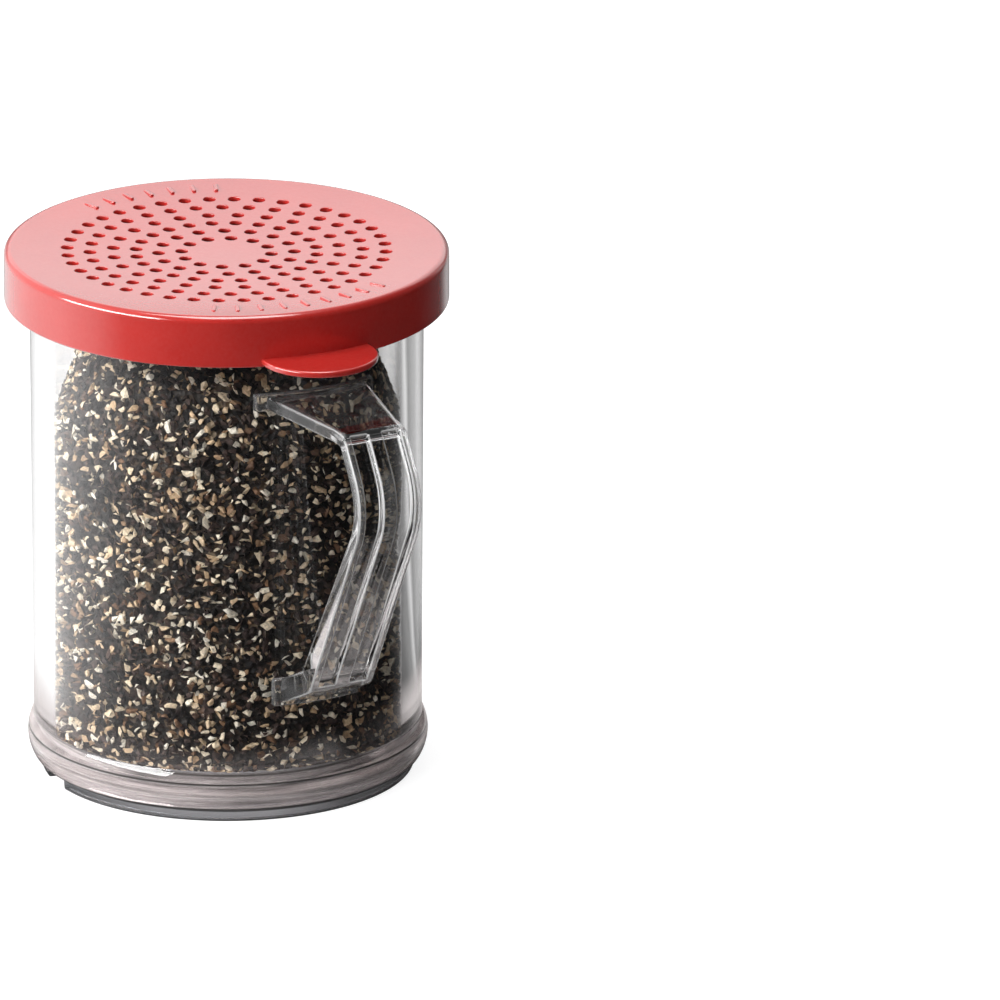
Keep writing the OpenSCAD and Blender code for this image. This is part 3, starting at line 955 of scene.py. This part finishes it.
def scatter(name, rng, shapes, points, normals, mat):
    """Chips whose farthest point along the surface's normal ends at the surface or a little below
    it. Each has a tone, and some have skin on one side."""
    n = len(points)
    size = np.clip(rng.lognormal(math.log(CHIP_SIZE), CHIP_SPREAD, n), *CHIP_LIMITS)
    turns = random_turns(rng, normals)
    which = rng.integers(0, len(shapes), n)
    tone, deep = rng.random(n), rng.random(n) ** 1.5 * CHIP_SINK
    verts, faces, tones, skins, start = [], [], [], [], 0
    for k, (v, f, up) in enumerate(shapes):
        picked = np.nonzero(which == k)[0]
        if not len(picked):
            continue
        body = np.einsum("nij,vj->nvi", turns[picked], v) * size[picked, None, None]
        reach = np.einsum("nvi,ni->nv", body, normals[picked]).max(1)
        body += (points[picked] - normals[picked] * (reach + deep[picked])[:, None])[:, None, :]
        verts.append(body.reshape(-1, 3))
        index = start + np.arange(len(picked))[:, None, None] * len(v) + f[None]
        faces.append(index.reshape(-1, 3))
        start += len(picked) * len(v)
        tones.append(np.repeat(tone[picked], len(f)))
        has_skin = rng.random(len(picked)) < CHIP_SKIN
        skins.append((has_skin[:, None] * (up[None] > 0.35)).reshape(-1))
    return chip_object(name, verts, faces, {"tone": tones, "skin": skins}, mat)


def turned_points(rng, profile):
    """Jittered points on a surface turned from (radius, height), and its normals there."""
    points, normals = [], []
    for (r0, z0), (r1, z1) in zip(profile, profile[1:]):
        length = math.hypot(r1 - r0, z1 - z0)
        out, up = np.array([z1 - z0, r0 - r1]) / length
        rows = max(1, round(length / CHIP_PITCH))
        for row in range(rows):
            t = (row + 0.5) / rows
            r, z = r0 + (r1 - r0) * t, z0 + (z1 - z0) * t
            count = max(1, round(2 * math.pi * r / CHIP_PITCH))
            turn = np.arange(count) + rng.random() + rng.uniform(-CHIP_JITTER, CHIP_JITTER, count)
            a = turn * 2 * math.pi / count
            shift = rng.uniform(-CHIP_JITTER, CHIP_JITTER, count) * length / rows
            rr, zz = r + (r1 - r0) / length * shift, z + (z1 - z0) / length * shift
            points.append(np.column_stack([rr * np.cos(a), rr * np.sin(a), zz]))
            normals.append(np.column_stack([out * np.cos(a), out * np.sin(a), np.full(count, up)]))
    return np.concatenate(points), np.concatenate(normals)


def heap_line(side, top, steps):
    """The heap's dome as (radius, height), from where it has drawn in from the wall to its top."""
    foot = HEAP_Z + HEAP_FOOT_H
    return [((side - HEAP_IN) * math.cos(a), foot + (top - foot) * math.sin(a))
            for a in np.linspace(0, math.pi / 2, steps + 1)]


def build_spice(grain_mat, mass_mat):
    """The plain mass, and the chips on it in three pieces from bottom to top."""
    rng = np.random.default_rng(SEED)
    shapes = chip_shapes(rng, CHIP_SHAPES)
    side = BORE_R - FILL_GAP
    low, inner = FLOOR_Z + MASS_SINK, side - MASS_SINK
    mass = [(0, low, 0), (inner, low, 0.5), (inner, HEAP_Z, 0)]
    mass += [(r, z, 0) for r, z in heap_line(inner, HEAP_TOP_Z - MASS_SINK, 12)]
    angles = np.linspace(0, 2 * math.pi, 128, endpoint=False)
    pieces = [make_object("spice_mass", *lathe(rounded_path(mass, closed=False), angles), mass_mat)]
    parting = (side, CHIPS_MIDDLE_Z)
    dome = heap_line(side, HEAP_TOP_Z, 12)[:-1] + [(0.6, HEAP_TOP_Z)]
    regions = {
        "spice_grains_low": [(0.6, FLOOR_Z), (side - 0.5, FLOOR_Z), (side, FLOOR_Z + 0.5), parting],
        "spice_grains_mid": [parting, (side, HEAP_Z)],
        "spice_grains_top": [(side, HEAP_Z)] + dome,
    }
    for name, profile in regions.items():
        points, normals = turned_points(rng, profile)
        pieces.append(scatter(name, rng, shapes, points, normals, grain_mat))
    return pieces


# ---- light, floor, camera

# The photograph's viewpoint: its turn from the handle's direction, its height angle, its distance,
# the frame's width, and the frame's middle to the right of the axis and above the foot, in metres
VIEW_TURN, VIEW_RISE, VIEW_AWAY = -27.5, 18.97, 6.0
VIEW_WIDE = 0.1857
VIEW_ASIDE, VIEW_UP = 0.05064, 0.0511

# Lamps: name, degrees to the right of the viewpoint, degrees up, then distance, width and height in
# metres, and watts
LAMPS = [
    ("key", -63, 26, 0.9, 0.9, 0.25, 9.5),
    ("back", 180, 30, 1.1, 1.3, 0.6, 2),
    ("top", 0, 90, 0.9, 0.5, 0.5, 4.8),
]

# Brightness of the room, and of the far table in gloss and through glass, by degrees to the right
# of the viewpoint
ROOM = [(-180, 0.4), (-160, 0.4), (-140, 1.0), (-80, 1.0), (-55, 0.2), (-35, 0.03), (95, 0.02),
        (130, 0.1), (142, 0.6), (150, 0.2), (162, 0.4), (180, 0.4)]
TABLE_GLOSS = [(-180, 0.0), (-168, 0.0), (-162, 0.8), (-90, 1.4), (-68, 1.0), (-50, 0.15),
               (-20, 0.02), (10, 0.005), (110, 0.005), (140, 0.1), (152, 0.6), (162, 0.4),
               (168, 0.0), (180, 0.0)]
TABLE_GLASS = [(-180, 0.30), (-172, 0.35), (-164, 1.1), (-100, 1.2), (-60, 0.5), (-30, 0.2),
               (-10, 0.05), (100, 0.02), (126, 0.25), (132, 0.95), (136, 0.35), (146, 0.55),
               (152, 0.95), (158, 0.95), (164, 0.4), (172, 0.3), (180, 0.30)]
# Where the room turns into its top, the top's brightness, and the room's share as light
ROOM_HIGH, ROOM_TOP, ROOM_LIGHT = (0.75, 0.95), 0.3, 0.2
# Brightness of the near table: under the shaker by radius in mm and by direction, beside it by
# direction, and the radii over which each gives way to the next. Under the shaker and round its
# foot the table's glow is darker, a painted shadow.
UNDER_TABLE = [(0, 0.25), (30, 0.3), (34, 0.08), (38, 0.1), (43, 0.95)]
UNDER_TURN = [(-180, 0.5), (-60, 0.35), (-25, 1.0), (15, 1.0), (45, 0.3), (140, 0.1), (180, 0.5)]
BESIDE_TURN = [(-180, 0.85), (-40, 0.85), (-15, 0.55), (22, 0.5), (34, 0.95), (50, 0.95),
               (58, 0.1), (95, 0.15), (112, 0.6), (180, 0.85)]
UNDER_FADE, BESIDE_FADE = (44, 52), (62, 78)
NEAR_TINT = (1.0, 0.94, 0.93)
# Radius at which the near table's ramp ends
REACH = 200.0
# Floor: half its width in metres, its colour as lit by the lamps, and its glow to the camera
FLOOR_HALF, FLOOR_WHITE, FLOOR_GLOW = 6.0, 0.5, 0.8


def direction(aside, rise):
    """A unit vector, aside degrees to the right of the camera and rise degrees up."""
    a, e = math.radians(VIEW_TURN + aside), math.radians(rise)
    return Vector((math.cos(e) * math.cos(a), math.cos(e) * math.sin(a), math.sin(e)))


def add_camera():
    """The camera at the photograph's viewpoint."""
    target = direction(90, 0) * VIEW_ASIDE + Vector((0, 0, VIEW_UP))
    towards = direction(0, VIEW_RISE)
    data = bpy.data.cameras.new("camera")
    data.lens = data.sensor_width * VIEW_AWAY / VIEW_WIDE
    data.clip_end = 100
    camera = place("camera", data)
    camera.location = target + towards * VIEW_AWAY
    camera.rotation_euler = towards.to_track_quat("Z", "Y").to_euler()
    bpy.context.scene.camera = camera


def add_softbox(name, aside, rise, away, wide, high, power):
    """A lamp that faces the shaker from a direction."""
    light = bpy.data.lights.new(name, "AREA")
    light.shape = "RECTANGLE"
    light.size, light.size_y = wide, high
    light.energy = power
    lamp = place(name, light)
    towards = direction(aside, rise)
    lamp.location = towards * away + Vector((0, 0, 0.05))
    lamp.rotation_euler = towards.to_track_quat("Z", "Y").to_euler()


def around(tree, vector, stops):
    """Brightness by a direction's degrees to the right of the photograph's viewpoint."""
    right, ahead = (along(tree, vector, direction(degrees, 0)) for degrees in (90, 0))
    share = spread(tree, math_node(tree, "ARCTAN2", right, ahead), 0, 1, -math.pi, math.pi)
    return ramp(tree, share, [((degrees + 180) / 360, grey(level)) for degrees, level in stops])


def add_world():
    """White where the camera sees it. As light and in reflections it is a studio: white to the left
    and behind the shaker, and dark towards the viewpoint and to the right."""
    world = bpy.data.worlds.new("studio")
    bpy.context.scene.world = world
    world.use_nodes = True
    tree = world.node_tree
    tree.nodes.clear()
    coord = new_node(tree, "TexCoord").outputs["Generated"]
    path = new_node(tree, "LightPath").outputs
    high = spread(tree, along(tree, coord, UP), 0, 1, *ROOM_HIGH)
    room = mix_colour(tree, high, around(tree, coord, ROOM), grey(ROOM_TOP))
    lit = mix_colour(tree, 1.0, room, grey(ROOM_LIGHT), "MULTIPLY")
    sharp = either(tree, path["Is Transmission Ray"], path["Is Glossy Ray"])
    seen = mix_colour(tree, sharp, lit, room)
    seen = mix_colour(tree, path["Is Camera Ray"], seen, grey(1))
    back = new_node(tree, "Background", {"Color": seen})
    new_node(tree, "OutputWorld", {"Surface": back.outputs[0]})


def table_colour(tree, through):
    """The table under the shaker, beside it and far from it. The far table differs in gloss and
    through glass, and is white to the left and darker in front and to the right."""
    coord = object_coord(tree)
    gloss, glass, under_turn, beside_turn = (
        around(tree, coord, stops) for stops in (TABLE_GLOSS, TABLE_GLASS, UNDER_TURN, BESIDE_TURN))
    far = mix_colour(tree, through, gloss, glass)
    away = math_node(tree, "DIVIDE", length_of(tree, coord), REACH * MM)
    under = [(r / REACH, tuple(level * c for c in NEAR_TINT)) for r, level in UNDER_TABLE]
    # Darker under the shaker and round its foot: painted shadow in the table's glow
    under = mix_colour(tree, 1.0, ramp(tree, away, under), under_turn, "MULTIPLY")
    beside = mix_colour(tree, 1.0, beside_turn, NEAR_TINT, "MULTIPLY")
    under_end, beside_end = (spread(tree, away, 0, 1, *(r / REACH for r in span))
                             for span in (UNDER_FADE, BESIDE_FADE))
    near = mix_colour(tree, under_end, under, beside)
    return mix_colour(tree, beside_end, near, far)


def add_floor():
    """A pale floor, white to the camera, with the shaker's shadow on it. Glass and gloss see it
    glow as the studio's table, darker under the shaker and round its foot as a painted shadow."""
    mesh = bpy.data.meshes.new("floor")
    s = FLOOR_HALF
    mesh.from_pydata([(-s, -s, 0), (s, -s, 0), (s, s, 0), (-s, s, 0)], [], [(0, 1, 2, 3)])
    floor = place("floor", mesh)
    mat, tree, shader, out = material("pale_floor")
    path = new_node(tree, "LightPath").outputs
    put(tree, shader, {
        "Base Color": grey(FLOOR_WHITE), "Roughness": 0.8, "Emission Color": grey(1),
        "Emission Strength": spread(tree, path["Is Camera Ray"], 0, FLOOR_GLOW, 0, 1),
    })
    through = path["Is Transmission Ray"]
    table = new_node(tree, "Emission", {"Color": table_colour(tree, through)})
    mix_shaders(tree, either(tree, path["Is Glossy Ray"], through), shader, table, out)
    mesh.materials.append(mat)


# ---- everything together

def main():
    """Builds every piece, ties it to its body, hides the CAD node it stands for, and lights the
    scene.
    """
    pieces = [
        (build_cup(clear_plastic("clear_cup", BAND_TINT, 0.00008)), "shaker", "cup_body"),
        (build_base(clear_plastic("clear_base", PLATE_TINT, 0.00008)), "shaker", "base_plate"),
        (build_handle(clear_plastic("clear_handle", CLEAR_TINT, 0.0002, 0.45)), "shaker", "handle"),
    ]
    pieces = [(*piece, "clear_plastic") for piece in pieces]
    pieces.append((build_lid(rose_plastic()), "lid", "lid", "rose_plastic"))
    for piece in build_spice(spice_grain(), spice_heart()):
        pieces.append((piece, "shaker", "ground_spice", "spice"))
    for piece, body, node, slot in pieces:
        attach(piece, body)
        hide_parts(node)
    add_camera()
    for lamp in LAMPS:
        add_softbox(*lamp)
    add_world()
    add_floor()
    bpy.context.scene.view_settings.view_transform = "Standard"


main()
